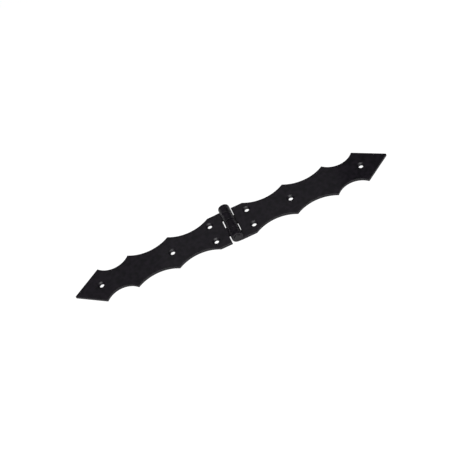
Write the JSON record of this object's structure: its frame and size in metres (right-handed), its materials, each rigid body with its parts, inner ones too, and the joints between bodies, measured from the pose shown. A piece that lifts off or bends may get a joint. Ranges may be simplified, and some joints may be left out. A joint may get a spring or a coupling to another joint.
{
  "type": "strap hinge",
  "caption": "Black strap hinge for a gate, with scalloped arrow-ended leaves, countersunk screw holes and knuckles rolled from the leaves round a riveted pin.",
  "frame": {"origin": "on the plane of the leaves' backs, straight below the middle of the hinge pin", "axes": "+X along the strap towards the right leaf's point, +Y along the hinge pin, +Z out of the mounting plane on the barrel side"},
  "size_m": [0.35, 0.0466, 0.0125],
  "materials": {
    "leaf_coat": "fine-grained semi-matt black powder coat on pressed steel sheet",
    "pin_coat": "semi-matt black powder coat on a riveted steel pin"
  },
  "bodies": {
    "fixed_leaf": {"left_leaf": "leaf_coat", "hinge_pin": "pin_coat"},
    "swinging_leaf": {"right_leaf": "leaf_coat"}
  },
  "joints": [
    {"name": "leaf_swing", "type": "hinge", "parent": "fixed_leaf", "child": "swinging_leaf", "pos_m": [0, 0, 0.00645], "axis": [0, -1, 0], "range_deg": [0, 180]}
  ]
}
